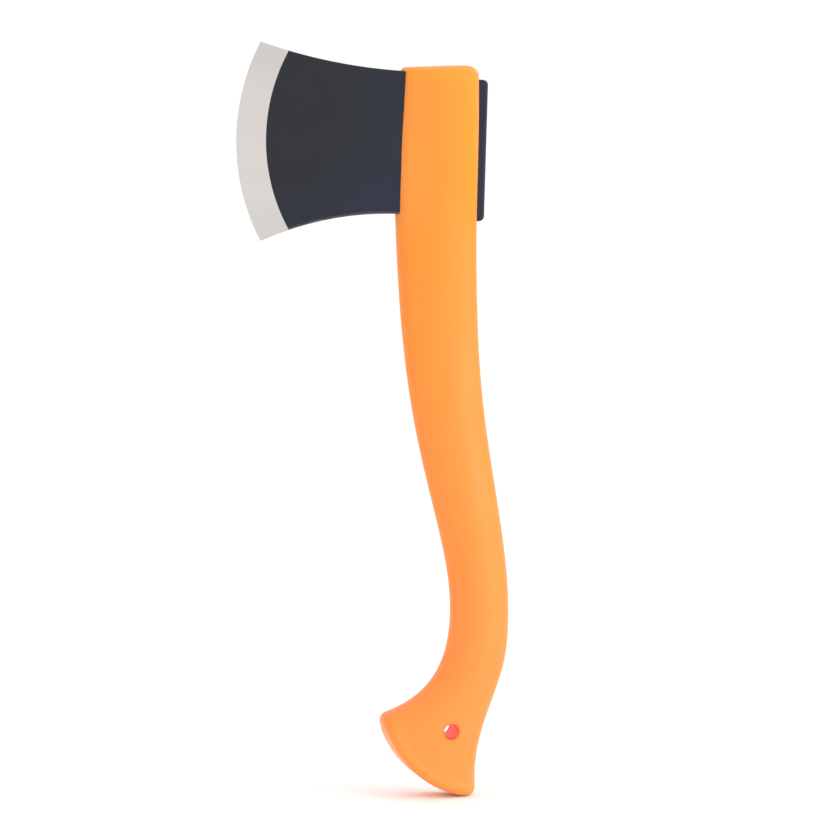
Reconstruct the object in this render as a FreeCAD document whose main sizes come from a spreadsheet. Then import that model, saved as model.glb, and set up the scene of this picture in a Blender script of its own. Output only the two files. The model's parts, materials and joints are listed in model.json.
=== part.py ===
import FreeCAD, Part
import math
import os
import Sketcher
from FreeCAD import Placement, Rotation, Vector

# A compact camping hatchet: a forged steel head with a fibre-reinforced plastic
# handle moulded round it.  Millimetres.  The origin is the centre of the lanyard
# hole, +Z runs up the handle to the head, the cutting edge faces -X, the poll
# faces +X, and the hatchet is symmetric about the plane Y = 0.
#
# "reach" is a distance forward of the lanyard hole, towards the cutting edge,
# "back" a distance behind it, and "height" a distance above it.

HEAD_SIZES = {
    # The cutting edge, the bevel and the cheeks are turned about one cross axis.
    "edge_radius": 90.25,
    "head_height": 251.3,
    "toe_height": 293.6,
    "heel_height": 209.6,
    "bevel_width": 12.3,
    "edge_half": 0.12,
    "shoulder_half": 2.1,
    "cheek_radius": 24.0,
    "web_half": 5.0,
    # Side outline between the edge and the poll.
    "blade_top_reach": 17.2,
    "blade_top_height": 281.0,
    "blade_top_radius": 230.0,
    "blade_foot_reach": 20.4,
    "blade_foot_height": 220.6,
    "blade_foot_radius": 130.0,
    "web_end": 10.5,
    "rim_round": 0.8,
    # Poll, leaning back a little towards its top.
    "poll_root": 7.0,
    "poll_top_height": 277.3,
    "poll_top_back": 16.9,
    "poll_foot_height": 217.4,
    "poll_foot_back": 15.1,
    "poll_half": 7.0,
    "poll_corner": 2.2,
    "poll_edge_round": 1.2,
    # Slots through the web, which the handle's plastic fills.
    "slot_reach": 4.0,
    "slot_height": 233.0,
    "slot_pitch": 17.0,
    "slot_length": 14.0,
    "slot_radius": 3.5,
}

HANDLE_SIZES = {
    # Shares of a section's half thickness, and half heights of its flats.
    "round_share": 0.68,
    "square_share": 0.30,
    "round_flat": 0.3,
    "square_flat": 6.4,
    # The crown rises to the back, where an arc turns it down.
    "crown_reach": 32.0,
    "crown_front_height": 282.2,
    "crown_back": 13.3,
    "crown_corner_height": 277.1,
    "crown_corner": 6.2,
    "crown_round": 1.8,
    "knob_radius": 44.4,
    "knob_centre_back": 14.7,
    "knob_centre_height": 15.2,
    "knob_round": 3.6,
    "hole_radius": 3.3,
    "hole_round": 0.7,
}

# Cross-sections down the handle: centre (x, z), tilt of the section's plane in
# degrees (positive lifts the back), width from front to back, half thickness,
# and how square its back is, from 0 for an oval grip to 1 for the boxy collar.
# The first and the last lie past the ends of the handle and are trimmed away.
SECTION_FIELDS = ("x", "z", "tilt", "width", "half", "square")
SECTIONS = {
    "above": (-2.6, 330.0, 0.0, 31.8, 10.8, 1.0),
    "crown": (-3.05, 290.0, 0.0, 31.1, 11.0, 1.0),
    "collar": (-4.6, 250.0, 0.0, 34.3, 11.2, 1.0),
    "neck": (-4.9, 210.0, 0.0, 33.5, 11.1, 0.9),
    "shank": (-2.95, 170.0, 0.0, 32.2, 10.5, 0.4),
    "waist": (1.75, 130.0, 0.0, 30.4, 10.0, 0.1),
    "grip": (9.55, 90.0, 0.0, 27.5, 9.8, 0.0),
    "hold": (14.4, 48.0, 0.0, 25.2, 9.9, 0.0),
    "palm": (9.25, 23.5, 4.0, 29.7, 11.0, 0.0),
    "knob": (-2.1, 7.2, -7.6, 38.6, 12.35, 0.0),
    "heel": (-11.35, -5.6, -25.3, 52.4, 12.9, 0.0),
    "tail": (-15.3, -26.0, -33.0, 87.9, 12.8, 0.0),
}

SLOT_COUNT = 3
FAR = 60.0  # reach of a trimming outline past the handle
ON_CURVE = 0.01  # a point this near a curve counts as lying on it
ON_LOFT = 0.05  # the same, for the edges of the lofted skin

doc = FreeCAD.newDocument("hatchet")
sheet = doc.addObject("Spreadsheet::Sheet", "sizes")


def fill_sheet():
    """Write every driving dimension to its own named cell."""
    sizes = dict(HEAD_SIZES)
    sizes.update(HANDLE_SIZES)
    for section, values in SECTIONS.items():
        for field, value in zip(SECTION_FIELDS, values):
            sizes[section + "_" + field] = value
    for row, (name, value) in enumerate(sizes.items(), start=1):
        sheet.set("A%d" % row, name)
        sheet.set("B%d" % row, str(value))
        sheet.setAlias("B%d" % row, name)
    doc.recompute()


def size(name):
    return getattr(sheet, name)


def origin_feature(body, role):
    return next(part for part in body.Origin.OriginFeatures if part.Role == role)


def new_sketch(body, name, plane):
    sketch = body.newObject("Sketcher::SketchObject", name)
    sketch.AttachmentSupport = [(origin_feature(body, plane), "")]
    sketch.MapMode = "FlatFace"
    return sketch


def dimension(sketch, name, constraint, formula):
    """Add one named dimension and bind it to the sheet."""
    index = sketch.addConstraint(constraint)
    sketch.renameConstraint(index, name)
    sketch.setExpression("Constraints." + name, formula)


def corners_at(sketch, point):
    """The (edge, end) pairs of a sketch that lie at one point, (across, up)."""
    found = []
    for index, curve in enumerate(sketch.Geometry):
        for end, place in ((1, curve.StartPoint), (2, curve.EndPoint)):
            if place.distanceToPoint(Vector(*point, 0)) < 1e-6:
                found.append((index, end))
    return found


def add_outline(sketch, curves, corners, smooth=None):
    """Add a closed outline's edges and join them at its corners, one of them smoothly."""
    sketch.addGeometry(curves, False)
    for point in corners:
        first, second = corners_at(sketch, point)
        kind = "Tangent" if point == smooth else "Coincident"
        sketch.addConstraint(Sketcher.Constraint(kind, *first, *second))


def pin(sketch, name, point, across=None, up=None):
    """Bind a corner's distances from the sketch's origin to formulas of the sheet."""
    corner = corners_at(sketch, point)[0]
    for axis, value, formula in (("X", point[0], across), ("Y", point[1], up)):
        if formula is None:
            continue
        ends = (-1, 1, *corner) if value >= 0 else (*corner, -1, 1)
        constraint = Sketcher.Constraint("Distance" + axis, *ends, abs(value))
        dimension(sketch, name + "_" + axis.lower(), constraint, formula)


def line(start, end):
    return Part.LineSegment(Vector(*start, 0), Vector(*end, 0))


def arc_centre(start, end, radius):
    """Centre of the shorter arc that runs anticlockwise from start to end."""
    chord = Vector(*end, 0) - Vector(*start, 0)
    depth = math.sqrt(radius ** 2 - (chord.Length / 2) ** 2)
    inward = Vector(-chord.y, chord.x, 0).normalize()
    return Vector(*start, 0) + chord * 0.5 + inward * depth


def arc(start, end, radius):
    centre = arc_centre(start, end, radius)
    first = math.atan2(start[1] - centre.y, start[0] - centre.x)
    last = math.atan2(end[1] - centre.y, end[0] - centre.x)
    return Part.ArcOfCircle(Part.Circle(centre, Vector(0, 0, 1), radius), first, last)


def finish_feature(body, feature, profile=None):
    """Recompute, hide the profile and report how much the feature added or cut."""
    before = feature.BaseFeature.Shape.Volume if feature.BaseFeature else 0.0
    if profile:
        profile.Visibility = False
    body.Tip = feature
    doc.recompute()
    valid = "" if feature.Shape.isValid() else "NOT VALID"
    print("%-18s %+10.1f mm3 %s" % (feature.Label, feature.Shape.Volume - before, valid))
    return feature


def symmetric_pad(body, sketch, name, half):
    pad = body.newObject("PartDesign::Pad", name)
    pad.Profile = sketch
    pad.SideType = "Symmetric"
    pad.setExpression("Length", "2 * sizes." + half)
    return finish_feature(body, pad, sketch)


def through_pocket(body, sketch, name):
    pocket = body.newObject("PartDesign::Pocket", name)
    pocket.Profile = sketch
    pocket.SideType = "Symmetric"
    pocket.Type = "ThroughAll"
    return finish_feature(body, pocket, sketch)


def round_edges(body, name, radius, chosen):
    """Fillet the edges whose points all pass a test, by a radius from the sheet."""
    base = body.Tip
    edges = []
    for index, edge in enumerate(base.Shape.Edges, start=1):
        if all(chosen(point) for point in edge.discretize(5)):
            edges.append("Edge%d" % index)
    fillet = body.newObject("PartDesign::Fillet", name)
    fillet.Base = (base, edges)
    fillet.setExpression("Radius", "sizes." + radius)
    return finish_feature(body, fillet)


# ---------------------------------------------------------------- the head


def blade_corners():
    """Toe, heel, and the corners where the blade's top and foot arcs meet the web."""
    radius = size("edge_radius")
    height = size("head_height")
    toe = (-math.sqrt(radius ** 2 - (size("toe_height") - height) ** 2), size("toe_height"))
    heel = (-math.sqrt(radius ** 2 - (height - size("heel_height")) ** 2), size("heel_height"))
    top = (-size("blade_top_reach"), size("blade_top_height"))
    foot = (-size("blade_foot_reach"), size("blade_foot_height"))
    return toe, heel, top, foot


def head_outline(body):
    """Side outline of blade and web: the edge arc, two concave arcs and three lines."""
    radius = size("edge_radius")
    height = size("head_height")
    toe, heel, top, foot = blade_corners()
    web_top = (size("web_end"), size("poll_top_height"))
    web_foot = (size("web_end"), size("poll_foot_height"))

    sketch = new_sketch(body, "head_outline", "XZ_Plane")
    curves = [
        arc(toe, heel, radius),
        arc(foot, heel, size("blade_foot_radius")),
        line(foot, web_foot),
        line(web_foot, web_top),
        line(web_top, top),
        arc(toe, top, size("blade_top_radius")),
    ]
    add_outline(sketch, curves, (toe, heel, foot, web_foot, web_top, top))
    sketch.addConstraint(Sketcher.Constraint("PointOnObject", 0, 3, -2))
    dimension(sketch, "edge_radius", Sketcher.Constraint("Radius", 0, radius), "sizes.edge_radius")
    for index, name in ((1, "blade_foot_radius"), (5, "blade_top_radius")):
        dimension(sketch, name, Sketcher.Constraint("Radius", index, size(name)), "sizes." + name)
    centre = Sketcher.Constraint("DistanceY", -1, 1, 0, 3, height)
    dimension(sketch, "head_height", centre, "sizes.head_height")
    pin(sketch, "toe", toe, up="sizes.toe_height")
    pin(sketch, "heel", heel, up="sizes.heel_height")
    pin(sketch, "top", top, "sizes.blade_top_reach", "sizes.blade_top_height")
    pin(sketch, "foot", foot, "sizes.blade_foot_reach", "sizes.blade_foot_height")
    pin(sketch, "web_top", web_top, "sizes.web_end", "sizes.poll_top_height")
    pin(sketch, "web_foot", web_foot, "sizes.web_end", "sizes.poll_foot_height")
    return sketch


def blade_faces(body):
    """Turn the bevel and the cheek of the near side, and mirror them to the far side."""
    edge = size("edge_radius")
    outside = 2 * size("poll_half")
    points = [
        (0.0, size("web_half")),
        (-size("cheek_radius"), size("web_half")),
        (-(edge - size("bevel_width")), size("shoulder_half")),
        (-edge, size("edge_half")),
        (-edge, outside),
        (0.0, outside),
    ]
    sketch = new_sketch(body, "blade_section", "XY_Plane")
    sketch.AttachmentOffset = Placement(Vector(0, 0, size("head_height")), Rotation())
    sketch.setExpression(".AttachmentOffset.Base.z", "sizes.head_height")
    curves = [line(start, end) for start, end in zip(points, points[1:] + points[:1])]
    add_outline(sketch, curves, points)
    formulas = (
        ("axis_side", None, "sizes.web_half"),
        ("cheek", "sizes.cheek_radius", "sizes.web_half"),
        ("shoulder", "sizes.edge_radius - sizes.bevel_width", "sizes.shoulder_half"),
        ("cutting_edge", "sizes.edge_radius", "sizes.edge_half"),
        ("outer_front", "sizes.edge_radius", "2 * sizes.poll_half"),
        ("outer_axis", None, "2 * sizes.poll_half"),
    )
    for point, (name, across, up) in zip(points, formulas):
        pin(sketch, name, point, across, up)
    for point in (points[0], points[-1]):
        index, end = corners_at(sketch, point)[0]
        sketch.addConstraint(Sketcher.Constraint("PointOnObject", index, end, -2))

    groove = body.newObject("PartDesign::Groove", "near_face")
    groove.Profile = sketch
    groove.ReferenceAxis = (sketch, ["V_Axis"])
    groove.Angle = 360
    finish_feature(body, groove, sketch)
    mirror = body.newObject("PartDesign::Mirrored", "far_face")
    mirror.Originals = [groove]
    mirror.MirrorPlane = (origin_feature(body, "XZ_Plane"), [""])
    finish_feature(body, mirror)


def blade_rims(body):
    """Round the cheeks' rims along the blade's top and foot, up to the bevel."""
    toe, heel, top, foot = blade_corners()
    shoulder = size("edge_radius") - size("bevel_width")
    arcs = []
    for start, end, name in ((toe, top, "blade_top_radius"), (foot, heel, "blade_foot_radius")):
        arcs.append((arc_centre(start, end, size(name)), size(name)))

    def on_arc(point, centre, radius):
        return abs(math.hypot(point.x - centre.x, point.z - centre.y) - radius) < ON_CURVE

    def rim(point):
        behind_bevel = math.hypot(point.x, point.z - size("head_height")) < shoulder + ON_CURVE
        return behind_bevel and any(on_arc(point, *outline) for outline in arcs)

    round_edges(body, "blade_rims", "rim_round", rim)


def poll_block(body):
    """The poll: a thicker block behind the web, its face leaning back at the top."""
    top = size("poll_top_height")
    foot = size("poll_foot_height")
    points = [
        (size("poll_root"), foot),
        (size("poll_foot_back"), foot),
        (size("poll_top_back"), top),
        (size("poll_root"), top),
    ]
    sketch = new_sketch(body, "poll_outline", "XZ_Plane")
    curves = [line(start, end) for start, end in zip(points, points[1:] + points[:1])]
    add_outline(sketch, curves, points)
    pin(sketch, "root_foot", points[0], "sizes.poll_root", "sizes.poll_foot_height")
    pin(sketch, "face_foot", points[1], "sizes.poll_foot_back", "sizes.poll_foot_height")
    pin(sketch, "face_top", points[2], "sizes.poll_top_back", "sizes.poll_top_height")
    pin(sketch, "root_top", points[3], "sizes.poll_root", "sizes.poll_top_height")
    symmetric_pad(body, sketch, "poll", "poll_half")

    back = min(size("poll_foot_back"), size("poll_top_back")) - ON_CURVE

    def corner(point):
        return point.x > back and (abs(point.z - top) < ON_CURVE or abs(point.z - foot) < ON_CURVE)

    def face_rim(point):
        return point.x > size("web_end")

    round_edges(body, "poll_corners", "poll_corner", corner)
    round_edges(body, "poll_rim", "poll_edge_round", face_rim)


def keying_slots(body):
    """Round-ended slots through the web, in a row up the head."""
    radius = size("slot_radius")
    reach = size("slot_reach")
    low = size("slot_height") - size("slot_length") / 2 + radius
    high = size("slot_height") + size("slot_length") / 2 - radius
    left = -reach - radius
    right = -reach + radius
    sketch = new_sketch(body, "slot_outline", "XZ_Plane")
    top_centre = Vector(-reach, high, 0)
    foot_centre = Vector(-reach, low, 0)
    curves = [
        Part.ArcOfCircle(Part.Circle(top_centre, Vector(0, 0, 1), radius), 0, math.pi),
        line((left, high), (left, low)),
        Part.ArcOfCircle(Part.Circle(foot_centre, Vector(0, 0, 1), radius), math.pi, 2 * math.pi),
        line((right, low), (right, high)),
    ]
    sketch.addGeometry(curves, False)
    for first, second in ((0, 1), (1, 2), (2, 3), (3, 0)):
        sketch.addConstraint(Sketcher.Constraint("Tangent", first, 2, second, 1))
    sketch.addConstraint(Sketcher.Constraint("Vertical", 1))
    sketch.addConstraint(Sketcher.Constraint("Equal", 0, 2))
    dimension(sketch, "radius", Sketcher.Constraint("Radius", 0, radius), "sizes.slot_radius")
    across = Sketcher.Constraint("DistanceX", 0, 3, -1, 1, reach)
    dimension(sketch, "reach", across, "sizes.slot_reach")
    for index, value, name, sign in ((0, high, "high", "+"), (2, low, "low", "-")):
        formula = "sizes.slot_height %s (sizes.slot_length / 2 - sizes.slot_radius)" % sign
        dimension(sketch, name, Sketcher.Constraint("DistanceY", -1, 1, index, 3, value), formula)
    slot = through_pocket(body, sketch, "keying_slot")
    row = body.newObject("PartDesign::LinearPattern", "keying_slots")
    row.Originals = [slot]
    row.Direction = (origin_feature(body, "Z_Axis"), [""])
    row.Mode = "Spacing"
    row.Occurrences = SLOT_COUNT
    row.setExpression("Offset", "sizes.slot_pitch")
    finish_feature(body, row)


def build_head():
    body = doc.addObject("PartDesign::Body", "axe_head")
    outline = head_outline(body)
    symmetric_pad(body, outline, "forging", "poll_half")
    blade_faces(body)
    blade_rims(body)
    poll_block(body)
    keying_slots(body)
    return body


# -------------------------------------------------------------- the handle


def side_arc(width, half, front, back, front_flat, back_flat):
    """Centre and radius of the arc that joins the two roundings along one side.

    It touches the line at the half thickness and runs tangent into both
    roundings, so its centre solves a quadratic in its distance along the width.
    """
    front_x = front - width / 2
    back_x = width / 2 - back
    front_drop = half - front - front_flat
    back_drop = half - back - back_flat
    front_sum = front_flat ** 2 - (half - front) ** 2
    back_sum = back_flat ** 2 - (half - back) ** 2
    square = back_drop - front_drop
    linear = -2 * (back_drop * front_x - front_drop * back_x)
    constant = back_drop * (front_x ** 2 + front_sum) - front_drop * (back_x ** 2 + back_sum)
    if abs(square) < 1e-9:
        across = -constant / linear
    else:
        spread = math.sqrt(linear ** 2 - 4 * square * constant)
        roots = ((-linear + spread) / (2 * square), (-linear - spread) / (2 * square))
        across = min(roots, key=abs)
    depth = ((across - front_x) ** 2 + front_sum) / (2 * front_drop)
    return across, depth, half + depth


def section(body, name):
    """One closed section of the handle, on a plane across it at its own height."""

    def cell(field):
        return size(name + "_" + field)

    width = cell("width")
    half = cell("half")
    square = cell("square")
    front = size("round_share") * half
    back = half * (size("round_share") * (1 - square) + size("square_share") * square)
    front_flat = size("round_flat")
    back_flat = size("round_flat") * (1 - square) + size("square_flat") * square
    across, depth, radius = side_arc(width, half, front, back, front_flat, back_flat)
    front_x = front - width / 2
    back_x = width / 2 - back
    front_turn = math.atan2(front_flat + depth, front_x - across)
    back_turn = math.atan2(back_flat + depth, back_x - across)

    def turn(x, y, radius, first, last):
        return Part.ArcOfCircle(Part.Circle(Vector(x, y, 0), Vector(0, 0, 1), radius), first, last)

    sketch = new_sketch(body, name + "_section", "XY_Plane")
    curves = [
        line((-width / 2, -front_flat), (-width / 2, front_flat)),
        turn(front_x, front_flat, front, front_turn, math.pi),
        turn(across, -depth, radius, back_turn, front_turn),
        turn(back_x, back_flat, back, 0, back_turn),
        line((width / 2, back_flat), (width / 2, -back_flat)),
        turn(back_x, -back_flat, back, -back_turn, 0),
        turn(across, depth, radius, -front_turn, -back_turn),
        turn(front_x, -front_flat, front, math.pi, 2 * math.pi - front_turn),
    ]
    sketch.addGeometry(curves, False)
    crest = sketch.addGeometry(line((across, half), (across + 1, half)), True)
    constraints = [
        Sketcher.Constraint("Tangent", 0, 2, 1, 2),
        Sketcher.Constraint("Tangent", 1, 1, 2, 2),
        Sketcher.Constraint("Tangent", 2, 1, 3, 2),
        Sketcher.Constraint("Tangent", 3, 1, 4, 1),
        Sketcher.Constraint("Tangent", 4, 2, 5, 2),
        Sketcher.Constraint("Tangent", 5, 1, 6, 2),
        Sketcher.Constraint("Tangent", 6, 1, 7, 2),
        Sketcher.Constraint("Tangent", 7, 1, 0, 1),
        Sketcher.Constraint("Symmetric", 0, 1, 0, 2, -1),
        Sketcher.Constraint("Symmetric", 4, 1, 4, 2, -1),
        Sketcher.Constraint("Equal", 1, 7),
        Sketcher.Constraint("Equal", 3, 5),
        Sketcher.Constraint("Equal", 2, 6),
        Sketcher.Constraint("Horizontal", crest),
        Sketcher.Constraint("Tangent", crest, 2),
        Sketcher.Constraint("Vertical", crest, 1, 2, 3),
        Sketcher.Constraint("DistanceX", crest, 1, crest, 2, 1),
    ]
    sketch.addConstraint(constraints)
    here = "sizes." + name + "_"
    front_formula = here + "half * sizes.round_share"
    front_flat_formula = "2 * sizes.round_flat"
    mix = "(sizes.round_%%s * (1 - %ssquare) + sizes.square_%%s * %ssquare)" % (here, here)
    back_formula = here + "half * " + mix % ("share", "share")
    back_flat_formula = "2 * " + mix % ("flat", "flat")
    bound = (
        ("front_round", Sketcher.Constraint("Radius", 1, front), front_formula),
        ("back_round", Sketcher.Constraint("Radius", 3, back), back_formula),
        ("front_reach", Sketcher.Constraint("DistanceX", 0, 1, -1, 1, width / 2), here + "width / 2"),
        ("back_reach", Sketcher.Constraint("DistanceX", -1, 1, 4, 1, width / 2), here + "width / 2"),
        ("front_flat", Sketcher.Constraint("DistanceY", 0, 1, 0, 2, 2 * front_flat), front_flat_formula),
        ("back_flat", Sketcher.Constraint("DistanceY", 4, 2, 4, 1, 2 * back_flat), back_flat_formula),
        ("half", Sketcher.Constraint("DistanceY", -1, 1, crest, 1, half), here + "half"),
    )
    for dimension_name, constraint, formula in bound:
        dimension(sketch, dimension_name, constraint, formula)
    turned = Rotation(Vector(0, 1, 0), -cell("tilt"))
    sketch.AttachmentOffset = Placement(Vector(cell("x"), 0, cell("z")), turned)
    sketch.setExpression(".AttachmentOffset.Base.x", here + "x")
    sketch.setExpression(".AttachmentOffset.Base.z", here + "z")
    sketch.Visibility = False
    return sketch


def handle_blank(body):
    """The whole moulding's skin, lofted down the handle through its sections."""
    sections = [section(body, name) for name in SECTIONS]
    doc.recompute()
    loft = body.newObject("PartDesign::AdditiveLoft", "skin")
    loft.Profile = sections[0]
    loft.Sections = sections[1:]
    return finish_feature(body, loft)


def trim_crown(body):
    """Cut the top off along a line that rises to the back and turns down in an arc."""
    radius = size("crown_corner")
    front = (-size("crown_reach"), size("crown_front_height"))
    centre = (size("crown_back") - radius, size("crown_corner_height"))
    run = (centre[0] - front[0], centre[1] - front[1])
    span = math.hypot(*run)
    slope = math.atan2(run[1], run[0]) + math.asin(radius / span)
    length = math.sqrt(span ** 2 - radius ** 2)
    touch = (front[0] + length * math.cos(slope), front[1] + length * math.sin(slope))
    back = (size("crown_back"), centre[1])
    beyond = back[0] + FAR
    above = back[1] + FAR
    points = [back, (beyond, back[1]), (beyond, above), (front[0], above), front, touch]

    sketch = new_sketch(body, "crown_outline", "XZ_Plane")
    curves = [line(start, end) for start, end in zip(points, points[1:])]
    curves.append(arc(back, touch, radius))
    add_outline(sketch, curves, points, smooth=touch)
    for index, kind in enumerate(("Horizontal", "Vertical", "Horizontal", "Vertical")):
        sketch.addConstraint(Sketcher.Constraint(kind, index))
    sketch.addConstraint(Sketcher.Constraint("DistanceX", 0, 1, 0, 2, FAR))
    sketch.addConstraint(Sketcher.Constraint("DistanceY", 1, 1, 1, 2, FAR))
    dimension(sketch, "corner", Sketcher.Constraint("Radius", 5, radius), "sizes.crown_corner")
    across = Sketcher.Constraint("DistanceX", -1, 1, 5, 3, centre[0])
    dimension(sketch, "corner_back", across, "sizes.crown_back - sizes.crown_corner")
    up = Sketcher.Constraint("DistanceY", -1, 1, 5, 3, centre[1])
    dimension(sketch, "corner_height", up, "sizes.crown_corner_height")
    sketch.addConstraint(Sketcher.Constraint("Horizontal", 5, 3, 5, 1))
    pin(sketch, "front", front, "sizes.crown_reach", "sizes.crown_front_height")
    through_pocket(body, sketch, "crown_trim")


def trim_knob(body):
    """Cut the tail off along the big arc under the knob."""
    radius = size("knob_radius")
    back = size("knob_centre_back")
    height = size("knob_centre_height")
    front = (back - radius, height)
    heel = (2 * back, height - math.sqrt(radius ** 2 - back ** 2))
    points = [heel, (heel[0], -FAR), (-FAR, -FAR), (-FAR, height), front]

    sketch = new_sketch(body, "knob_outline", "XZ_Plane")
    curves = [line(start, end) for start, end in zip(points, points[1:])]
    curves.append(arc(front, heel, radius))
    add_outline(sketch, curves, points)
    for index, kind in enumerate(("Vertical", "Horizontal", "Vertical", "Horizontal")):
        sketch.addConstraint(Sketcher.Constraint(kind, index))
    sketch.addConstraint(Sketcher.Constraint("DistanceX", 1, 2, -1, 1, FAR))
    sketch.addConstraint(Sketcher.Constraint("DistanceY", 1, 2, -1, 1, FAR))
    sketch.addConstraint(Sketcher.Constraint("Horizontal", 4, 1, 4, 3))
    dimension(sketch, "radius", Sketcher.Constraint("Radius", 4, radius), "sizes.knob_radius")
    across = Sketcher.Constraint("DistanceX", -1, 1, 4, 3, back)
    dimension(sketch, "centre_back", across, "sizes.knob_centre_back")
    up = Sketcher.Constraint("DistanceY", -1, 1, 4, 3, height)
    dimension(sketch, "centre_height", up, "sizes.knob_centre_height")
    pin(sketch, "heel", heel, "2 * sizes.knob_centre_back", None)
    through_pocket(body, sketch, "knob_trim")


def lanyard_hole(body):
    sketch = new_sketch(body, "hole_outline", "XZ_Plane")
    sketch.addGeometry(Part.Circle(Vector(0, 0, 0), Vector(0, 0, 1), size("hole_radius")), False)
    sketch.addConstraint(Sketcher.Constraint("Coincident", 0, 3, -1, 1))
    dimension(sketch, "radius", Sketcher.Constraint("Radius", 0, size("hole_radius")), "sizes.hole_radius")
    through_pocket(body, sketch, "lanyard_hole")


def build_blank():
    body = doc.addObject("PartDesign::Body", "handle_blank")
    handle_blank(body)
    trim_crown(body)
    trim_knob(body)
    below_corner = size("crown_corner_height") - size("crown_corner")

    def crown(point):
        return point.z > below_corner

    def knob(point):
        away = math.hypot(point.x - size("knob_centre_back"), point.z - size("knob_centre_height"))
        return abs(away - size("knob_radius")) < ON_LOFT

    round_edges(body, "crown_round", "crown_round", crown)
    round_edges(body, "knob_round", "knob_round", knob)
    lanyard_hole(body)

    def mouth(point):
        on_wall = abs(math.hypot(point.x, point.z) - size("hole_radius")) < ON_CURVE
        return on_wall and abs(point.y) > size("knob_half") / 2

    round_edges(body, "hole_round", "hole_round", mouth)
    return body


def build_handle(head):
    """The moulding: its skin, less the steel that it is moulded round."""
    handle = doc.addObject("Part::Cut", "handle")
    handle.Base = build_blank()
    handle.Tool = head
    doc.recompute()
    return handle


# ---------------------------------------------------------------- checks


def check_document(pieces):
    for part in doc.Objects:
        if "Invalid" in part.State or "Error" in part.State:
            raise RuntimeError("%s failed: %s" % (part.Name, part.State))
        if part.TypeId == "Sketcher::SketchObject" and not part.FullyConstrained:
            raise RuntimeError(part.Label + " is not fully constrained")
    for piece in pieces:
        shape = piece.Shape
        if shape.isNull() or not shape.isValid():
            raise RuntimeError(piece.Label + " has no valid shape")
        print("%-10s %d solid, %.0f mm3, %s" % (piece.Label, len(shape.Solids), shape.Volume, shape.BoundBox))
    shared = pieces[0].Shape.common(pieces[1].Shape).Volume
    print("overlap of head and handle: %.3f mm3" % shared)


fill_sheet()
axe_head = build_head()
handle = build_handle(axe_head)
check_document([axe_head, handle])
os.makedirs("parts", exist_ok=True)
for piece in (axe_head, handle):
    piece.Shape.exportStep("parts/%s.step" % piece.Label)
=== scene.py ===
import json
import math

import bpy
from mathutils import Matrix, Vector


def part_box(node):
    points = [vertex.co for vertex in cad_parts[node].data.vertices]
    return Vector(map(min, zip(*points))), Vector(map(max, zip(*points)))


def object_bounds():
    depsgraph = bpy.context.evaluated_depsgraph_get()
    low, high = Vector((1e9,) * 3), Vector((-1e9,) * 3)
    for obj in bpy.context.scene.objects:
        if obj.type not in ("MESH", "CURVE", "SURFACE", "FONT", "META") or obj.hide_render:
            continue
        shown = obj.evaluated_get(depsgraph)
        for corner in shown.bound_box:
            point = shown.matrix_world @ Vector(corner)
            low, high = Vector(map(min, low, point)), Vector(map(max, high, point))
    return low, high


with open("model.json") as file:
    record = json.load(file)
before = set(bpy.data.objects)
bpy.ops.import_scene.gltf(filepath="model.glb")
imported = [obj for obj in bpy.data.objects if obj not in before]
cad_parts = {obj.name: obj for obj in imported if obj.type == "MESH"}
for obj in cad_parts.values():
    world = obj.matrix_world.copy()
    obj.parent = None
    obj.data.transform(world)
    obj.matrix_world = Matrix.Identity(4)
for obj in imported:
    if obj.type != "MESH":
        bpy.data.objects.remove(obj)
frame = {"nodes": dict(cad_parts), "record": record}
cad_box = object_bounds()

MM = 0.001

# ------------------------------------------------------------- sizes read from the frame

nodes = frame["nodes"]
mounts = {mount["name"]: mount for mount in frame["record"]["mounts"]}
low, high = cad_box
middle = (low + high) / 2
hole = mounts["lanyard_hole"]
hole_radius = hole["dims"]["r_mm"] * MM
hole_half = hole["dims"]["length_mm"] / 2 * MM
head_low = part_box("axe_head")[0]

# ------------------------------------------------------------- sizes that follow part.py

# The cutting edge is an arc about a cross axis above the lanyard hole, and the
# bevel is the ring inside it.
EDGE_RADIUS = hole["pos_m"][0] - head_low.x
EDGE_HEIGHT = 251.3 * MM
BEVEL_WIDTH = 12.3 * MM

# The concave arc along the blade's foot, about a cross axis far below it.
FOOT_X = -27.3 * MM
FOOT_Z = 90.8 * MM
FOOT_RADIUS = 130.0 * MM

# The arc under the knob, about a cross axis above and behind the lanyard hole.
KNOB_X = 14.7 * MM
KNOB_Z = 15.2 * MM
KNOB_RADIUS = 44.4 * MM

# The crown's top line in the side view, by its height above the lanyard hole. It
# rises to the back and ends in an arc about a cross axis. COLLAR_BACK is where the
# collar's back corners start to turn.
CROWN_TOP = 283.1 * MM
CROWN_SLOPE = 0.028
CORNER_X = 7.1 * MM
CORNER_Z = 277.1 * MM
CORNER_RADIUS = 6.2 * MM
COLLAR_BACK = 13.0 * MM

# ------------------------------------------------------------- node helpers


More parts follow.
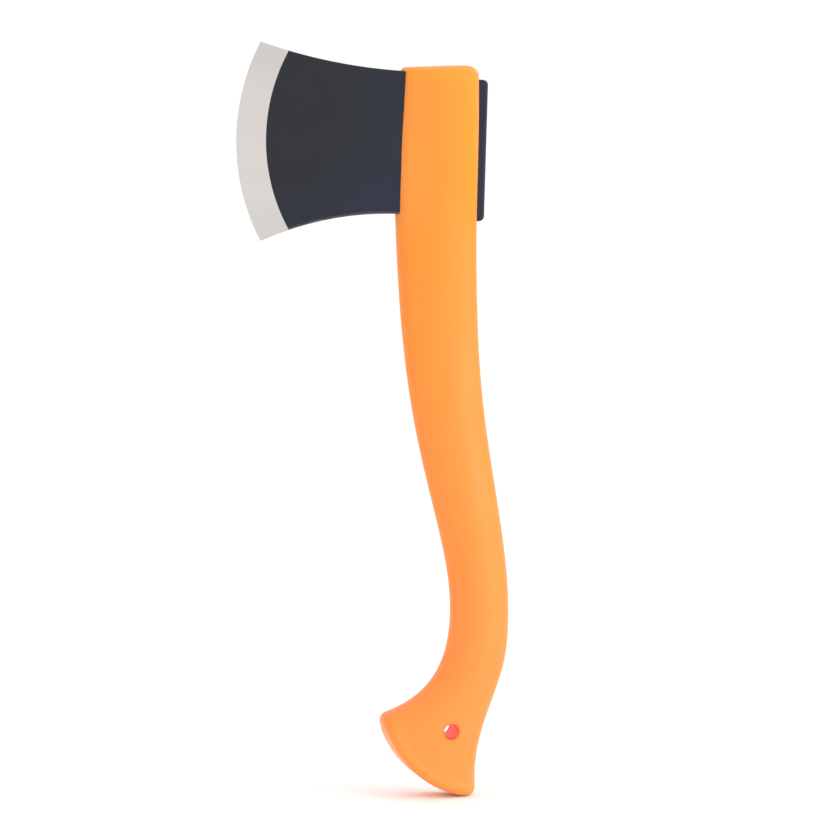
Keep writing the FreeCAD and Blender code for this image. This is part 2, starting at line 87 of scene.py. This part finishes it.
class Graph:
    """A material's node tree, with one short method per kind of node."""

    def __init__(self, name):
        self.material = bpy.data.materials.new(name)
        self.material.use_nodes = True
        self.tree = self.material.node_tree
        self.shader = self.tree.nodes["Principled BSDF"]

    def link(self, source, target):
        self.tree.links.new(source, target)

    def feed(self, target, value):
        """A number or colour is set on the socket, and a socket is linked to it."""
        if isinstance(value, bpy.types.NodeSocket):
            self.link(value, target)
        elif isinstance(value, tuple):
            target.default_value = (*value, 1.0)
        else:
            target.default_value = value

    def surface(self, name, value):
        self.feed(self.shader.inputs[name], value)

    def position(self):
        """Position on the object, in metres, in the row's frame."""
        return self.tree.nodes.new("ShaderNodeTexCoord").outputs["Object"]

    def split(self, vector):
        node = self.tree.nodes.new("ShaderNodeSeparateXYZ")
        self.link(vector, node.inputs[0])
        return node.outputs

    def join(self, x, y, z):
        node = self.tree.nodes.new("ShaderNodeCombineXYZ")
        for target, value in zip(node.inputs, (x, y, z)):
            self.feed(target, value)
        return node.outputs[0]

    def math(self, operation, *values):
        node = self.tree.nodes.new("ShaderNodeMath")
        node.operation = operation
        for target, value in zip(node.inputs, values):
            self.feed(target, value)
        return node.outputs[0]

    def plus(self, first, second):
        return self.math("ADD", first, second)

    def minus(self, first, second):
        return self.math("SUBTRACT", first, second)

    def times(self, first, second):
        return self.math("MULTIPLY", first, second)

    def larger(self, first, second):
        return self.math("MAXIMUM", first, second)

    def from_axis(self, x, z, axis_x=0.0, axis_z=0.0):
        """Distance of (x, z) from the axis along Y that passes through the given point."""
        across = self.math("POWER", self.minus(x, axis_x), 2.0)
        up = self.math("POWER", self.minus(z, axis_z), 2.0)
        return self.math("SQRT", self.plus(across, up))

    def step(self, value, start, end, before=0.0, after=1.0):
        """before up to start and after from end on, with a smooth ramp between."""
        node = self.tree.nodes.new("ShaderNodeMapRange")
        node.interpolation_type = "SMOOTHSTEP"
        self.feed(node.inputs["Value"], value)
        limits = {"From Min": start, "From Max": end, "To Min": before, "To Max": after}
        for name, number in limits.items():
            node.inputs[name].default_value = number
        return node.outputs["Result"]

    def noise(self, vector, scale, detail=3.0, roughness=0.5):
        node = self.tree.nodes.new("ShaderNodeTexNoise")
        self.link(vector, node.inputs["Vector"])
        node.inputs["Scale"].default_value = scale
        node.inputs["Detail"].default_value = detail
        node.inputs["Roughness"].default_value = roughness
        return node.outputs["Fac"]

    def mix(self, factor, first, second):
        """Colours, as sockets or as linear red, green and blue."""
        node = self.tree.nodes.new("ShaderNodeMix")
        node.data_type = "RGBA"
        self.feed(node.inputs["Factor"], factor)
        self.feed(node.inputs[6], first)
        self.feed(node.inputs[7], second)
        return node.outputs[2]

    def blend(self, factor, first, second):
        """Numbers, as sockets or plain."""
        node = self.tree.nodes.new("ShaderNodeMix")
        node.data_type = "FLOAT"
        self.feed(node.inputs["Factor"], factor)
        self.feed(node.inputs[2], first)
        self.feed(node.inputs[3], second)
        return node.outputs[0]

    def bump(self, height, strength, distance, normal=None):
        node = self.tree.nodes.new("ShaderNodeBump")
        self.feed(node.inputs["Strength"], strength)
        node.inputs["Distance"].default_value = distance
        self.link(height, node.inputs["Height"])
        if normal:
            self.link(normal, node.inputs["Normal"])
        return node.outputs["Normal"]


# ------------------------------------------------------------- plastic

UPPER_ORANGE = ((0.89, 0.246, 0.023), (0.94, 0.274, 0.030))
LOWER_ORANGE = ((0.89, 0.250, 0.044), (0.94, 0.278, 0.056))
# Painted light on the collar: paler towards the blade, fuller towards the poll.
COLLAR_FRONT_PAINTED_PALE = (0.93, 0.284, 0.042)
COLLAR_BACK_PAINTED_FULL = (0.93, 0.262, 0.004)
CROWN_ORANGE = (0.95, 0.300, 0.028)
# Painted highlight along the crown's rim and the collar's back corners.
CROWN_RIM_HIGHLIGHT = (1.0, 0.335, 0.085)
# Painted highlight along the knob's rounded rim.
KNOB_RIM_HIGHLIGHT = (0.98, 0.290, 0.055)
# Painted shade in a ring around the bore's openings.
MOUTH_SHADE_ORANGE = (0.78, 0.150, 0.030)
WALL_ORANGE = (0.88, 0.200, 0.035)
# Painted red and a painted glow for the middle of the bore's wall.
WALL_PAINTED_RED = (0.98, 0.105, 0.060)
BLACK = (0.0, 0.0, 0.0)
PAINTED_GLOW_RED = (1.0, 0.200, 0.125)


def orange(g, place, z):
    """Clouded orange, a little paler towards the knob."""
    cloud = g.blend(0.35, g.noise(place, 55.0, 3.0), g.noise(place, 420.0, 3.0, 0.6))
    towards_knob = g.step(z, 0.0, 240.0 * MM, 1.0, 0.0)
    return g.mix(towards_knob, g.mix(cloud, *UPPER_ORANGE), g.mix(cloud, *LOWER_ORANGE))


def tint_collar(g, base, x, z):
    """Painted light: paler towards the blade, and a fuller orange towards the poll except along
    its corners.
    """
    on_collar = g.step(z, 200.0 * MM, 235.0 * MM)
    pale = g.step(x, -18.0 * MM, -6.0 * MM, 1.0, 0.0)
    base = g.mix(g.times(on_collar, pale), base, COLLAR_FRONT_PAINTED_PALE)
    full = g.times(g.step(x, 0.0, 8.0 * MM), g.step(x, 9.5 * MM, 11.5 * MM, 1.0, 0.0))
    base = g.mix(g.times(on_collar, full), base, COLLAR_BACK_PAINTED_FULL)

    # The crown is paler, and a painted highlight lightens its rim and the collar's back corners
    # most of all.
    below_top = g.minus(g.plus(g.times(x, CROWN_SLOPE), CROWN_TOP), z)
    base = g.mix(g.step(below_top, 0.0, 10.0 * MM, 0.65, 0.0), base, CROWN_ORANGE)
    top = g.step(below_top, 0.3 * MM, 2.0 * MM, 1.0, 0.0)
    in_corner = g.times(g.math("GREATER_THAN", x, CORNER_X), g.math("GREATER_THAN", z, CORNER_Z))
    from_corner = g.from_axis(x, z, CORNER_X, CORNER_Z)
    corner = g.step(from_corner, CORNER_RADIUS - 2.0 * MM, CORNER_RADIUS - 0.3 * MM)
    back = g.step(x, COLLAR_BACK - 2.2 * MM, COLLAR_BACK - 0.6 * MM)
    rim_highlight = g.larger(top, g.larger(g.times(in_corner, corner), g.times(on_collar, back)))
    return g.mix(g.times(rim_highlight, 0.8), base, CROWN_RIM_HIGHLIGHT)


def tint_knob(g, base, x, z):
    """A painted highlight makes the knob paler along the arc under it."""
    on_knob = g.step(z, -5.0 * MM, 4.0 * MM, 1.0, 0.0)
    from_centre = g.from_axis(x, z, KNOB_X, KNOB_Z)
    rim = g.step(from_centre, KNOB_RADIUS - 9.0 * MM, KNOB_RADIUS - 3.0 * MM)
    return g.mix(g.times(on_knob, rim), base, KNOB_RIM_HIGHLIGHT)


def tint_bore(g, base, x, y, z):
    """The colour and a painted glow: the middle of the bore's wall is painted red and made to
    glow, in place of light reflected and soaked in there.
    """
    from_hole = g.from_axis(x, z)
    # Painted shade: a darker orange ring around each opening of the bore.
    mouth_shade = g.step(from_hole, hole_radius + 0.4 * MM, hole_radius + 1.9 * MM, 0.3, 0.0)
    base = g.mix(mouth_shade, base, MOUTH_SHADE_ORANGE)
    bore = g.step(from_hole, hole_radius + 0.05 * MM, hole_radius + 0.6 * MM, 1.0, 0.0)
    deep = g.step(g.math("ABSOLUTE", y), 0.25 * hole_half, 0.90 * hole_half, 1.0, 0.0)
    base = g.mix(bore, base, g.mix(deep, WALL_ORANGE, WALL_PAINTED_RED))
    return base, g.mix(g.times(bore, deep), BLACK, PAINTED_GLOW_RED)


def plastic():
    """Orange reinforced plastic with a fine moulded texture, and a bore wall painted red with a
    painted glow.
    """
    g = Graph("handle_plastic")
    place = g.position()
    x, y, z = g.split(place)

    base = tint_knob(g, tint_collar(g, orange(g, place, z), x, z), x, z)
    base, glow = tint_bore(g, base, x, y, z)
    g.surface("Base Color", base)
    # The emission paints a glow into the bore's wall, where there is no lamp.
    g.surface("Emission Color", glow)
    g.surface("Emission Strength", 0.20)

    # A spark-eroded mould leaves a fine pebbled grain, and hands polish its tips.
    grain = g.noise(place, 1900.0, 2.0, 0.6)
    wave = g.noise(place, 160.0, 2.0)
    polished = g.step(g.noise(place, 24.0, 3.0), 0.40, 0.70)
    matt_roughness = g.step(wave, 0.3, 0.7, 0.42, 0.50)
    polished_roughness = g.step(grain, 0.3, 0.7, 0.34, 0.44)
    g.surface("Roughness", g.blend(polished, matt_roughness, polished_roughness))
    waves = g.bump(wave, 0.30, 0.10 * MM)
    g.surface("Normal", g.bump(grain, g.blend(polished, 0.55, 0.35), 0.06 * MM, waves))
    g.surface("Specular IOR Level", 0.28)
    g.surface("Sheen Weight", 0.15)
    g.surface("Sheen Roughness", 0.25)
    return g.material


# ------------------------------------------------------------- coated steel

STEEL = ((0.605, 0.577, 0.550), (0.675, 0.642, 0.610))
DULL_STEEL = (0.53, 0.505, 0.485)
COAT = ((0.0065, 0.0085, 0.0130), (0.0090, 0.0110, 0.0160))
BLUE_COAT = (0.0085, 0.0120, 0.0270)
# Painted highlight on the rounded rim along the blade's foot.
FOOT_RIM_HIGHLIGHT = (0.150, 0.135, 0.145)

# Behind this line nothing is ground bright, although the poll lies as far out.
GROUND_LIMIT = -60.0 * MM


def bare_steel(g, angle, lines, broad):
    """Bright grinding lines, duller towards the toe and the heel."""
    ends = g.step(g.math("ABSOLUTE", angle), 0.15, 0.50, 0.0, 0.55)
    dull = g.larger(ends, g.times(broad, 0.25))
    return g.mix(dull, g.mix(g.step(lines, 0.3, 0.7), *STEEL), DULL_STEEL)


def black_coat(g, place, x, z, broad):
    """Black, with a bluer cast low on the blade and towards the collar."""
    low_on_blade = g.step(z, 215.0 * MM, 262.0 * MM, 1.0, 0.0)
    towards_collar = g.step(x, -70.0 * MM, -25.0 * MM, -0.6, 0.4)
    blue = g.larger(g.plus(low_on_blade, towards_collar), 0.0)
    coat = g.mix(blue, g.mix(broad, *COAT), BLUE_COAT)

    # A painted highlight makes the coat greyer on the rounded rim along the blade's foot.
    from_foot = g.from_axis(x, z, FOOT_X, FOOT_Z)
    rim = g.step(from_foot, FOOT_RADIUS, FOOT_RADIUS + 1.4 * MM, 1.0, 0.0)
    rim = g.times(rim, g.math("LESS_THAN", z, EDGE_HEIGHT))
    return g.mix(g.times(rim, g.noise(place, 300.0, 2.0)), coat, FOOT_RIM_HIGHLIGHT)


def coated_steel():
    """Satin black coat on the forging, ground away to bright steel on the bevel."""
    g = Graph("head_coat")
    place = g.position()
    x, _, z = g.split(place)
    radius = g.from_axis(x, z, 0.0, EDGE_HEIGHT)
    angle = g.math("ARCTAN2", g.minus(z, EDGE_HEIGHT), g.times(x, -1.0))

    # The coat ends in a slightly ragged line, where the grinder's belt ran out, and
    # the bright band is a little wider at the heel than at the toe.
    ragged = g.noise(g.join(g.times(angle, 60.0), 0.0, 0.0), 4.0, 4.0)
    boundary = g.plus(radius, g.times(g.minus(ragged, 0.5), 0.10 * MM))
    boundary = g.minus(boundary, g.times(angle, 0.55 * MM))
    shoulder = EDGE_RADIUS - BEVEL_WIDTH
    in_front = g.math("LESS_THAN", x, GROUND_LIMIT)
    ground = g.times(in_front, g.step(boundary, shoulder - 0.10 * MM, shoulder + 0.05 * MM))

    # Grinding lines run across the bevel, from the shoulder to the cutting edge.
    lines = g.noise(g.join(g.times(angle, 900.0), g.times(radius, 40.0), 0.0), 1.0, 4.0, 0.6)
    broad = g.noise(place, 70.0, 2.0)
    steel = bare_steel(g, angle, lines, broad)
    g.surface("Base Color", g.mix(ground, black_coat(g, place, x, z, broad), steel))
    g.surface("Metallic", ground)

    satin = g.step(g.noise(place, 240.0, 3.0), 0.3, 0.7, 0.44, 0.52)
    brushed = g.step(lines, 0.3, 0.7, 0.34, 0.42)
    g.surface("Roughness", g.blend(ground, satin, brushed))
    g.surface("Specular IOR Level", 0.30)

    peel = g.noise(place, 1300.0, 3.0, 0.6)
    strength = g.blend(ground, 0.22, 0.10)
    g.surface("Normal", g.bump(g.blend(ground, peel, lines), strength, 0.05 * MM))
    return g.material


# ------------------------------------------------------------- finishes on the nodes


def give(node, material):
    nodes[node].data.materials.clear()
    nodes[node].data.materials.append(material)


give("handle", plastic())
give("axe_head", coated_steel())

# ------------------------------------------------------------- stage

# The camera looks at CAMERA_AIM from the photograph's angle, from far enough away
# that FRAME_HEIGHT metres fill the frame there.
CAMERA_AIM = Vector((-0.01137, 0.0, 0.1327))
CAMERA_YAW = math.radians(-11.2)
CAMERA_PITCH = math.radians(4.7)
CAMERA_DISTANCE = 2.3
FRAME_HEIGHT = 0.3576
SENSOR = 36.0

FLOOR_WHITE = (0.98, 0.98, 0.98)
FLOOR_RADIUS = 30.0
WORLD_WHITE = (1.0, 1.0, 1.0)
WORLD_STRENGTH = 1.06
KEY_PLACE = Vector((1.1, -1.0, 0.5))
KEY_SIDE = 0.9
KEY_POWER = 10.5


def aim(thing, place, direction):
    """Put a camera or light in the scene, looking along direction."""
    bpy.context.scene.collection.objects.link(thing)
    thing.location = place
    thing.rotation_mode = "QUATERNION"
    thing.rotation_quaternion = direction.to_track_quat("-Z", "Y")


def add_camera():
    level = Vector((math.sin(CAMERA_YAW), -math.cos(CAMERA_YAW), 0.0))
    back = level * math.cos(CAMERA_PITCH) + Vector((0, 0, math.sin(CAMERA_PITCH)))
    data = bpy.data.cameras.new("camera")
    data.sensor_width = SENSOR
    data.lens = SENSOR * CAMERA_DISTANCE / FRAME_HEIGHT
    camera = bpy.data.objects.new("camera", data)
    aim(camera, CAMERA_AIM + back * CAMERA_DISTANCE, -back)
    bpy.context.scene.camera = camera


def floor_paper():
    g = Graph("studio_floor")
    g.surface("Base Color", FLOOR_WHITE)
    g.surface("Roughness", 0.9)
    g.surface("Specular IOR Level", 0.1)
    return g.material


def add_floor():
    bpy.ops.mesh.primitive_circle_add(
        vertices=96, radius=FLOOR_RADIUS, fill_type="NGON", location=(0, 0, low.z)
    )
    floor = bpy.context.object
    floor.name = "studio_floor"
    floor.data.materials.append(floor_paper())


def add_world():
    world = bpy.data.worlds.new("studio")
    world.use_nodes = True
    background = world.node_tree.nodes["Background"]
    background.inputs["Color"].default_value = (*WORLD_WHITE, 1.0)
    background.inputs["Strength"].default_value = WORLD_STRENGTH
    bpy.context.scene.world = world


def add_key():
    data = bpy.data.lights.new("key", "AREA")
    data.shape = "SQUARE"
    data.size = KEY_SIDE
    data.energy = KEY_POWER
    aim(bpy.data.objects.new("key", data), KEY_PLACE, middle - KEY_PLACE)


add_camera()
add_floor()
add_world()
add_key()

bpy.context.scene.view_settings.view_transform = "Standard"
